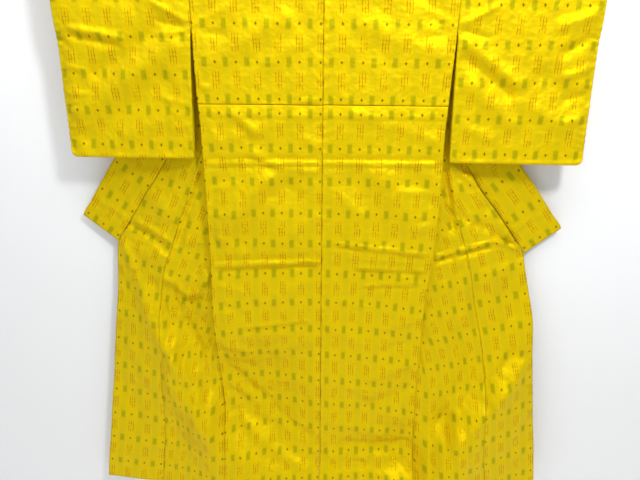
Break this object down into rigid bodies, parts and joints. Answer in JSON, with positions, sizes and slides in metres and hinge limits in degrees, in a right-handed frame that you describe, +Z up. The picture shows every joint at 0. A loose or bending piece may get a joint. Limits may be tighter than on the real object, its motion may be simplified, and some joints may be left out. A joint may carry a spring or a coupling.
{
  "type": "kimono on a display rail",
  "caption": "Lined slub-silk kimono hung on a round rail, back to the viewer, fronts and wide collar opened outwards behind it, square sleeves along the rail, hem gathered into deep folds.",
  "frame": {"origin": "centre of the rail, midway between its ends, where the kimono is held", "axes": "+X along the rail, to the right of a viewer who faces the back of the kimono; +Y away from that viewer; +Z up"},
  "size_m": [1.38, 0.143, 1.6544],
  "materials": {
    "silk": "satin",
    "rail_wood": "satin"
  },
  "bodies": {
    "root": {"body_left": "silk", "overlap_left": "silk", "sleeve_left": "silk", "body_right": "silk", "overlap_right": "silk", "sleeve_right": "silk", "collar": "silk", "rail": "rail_wood"}
  },
  "joints": []
}
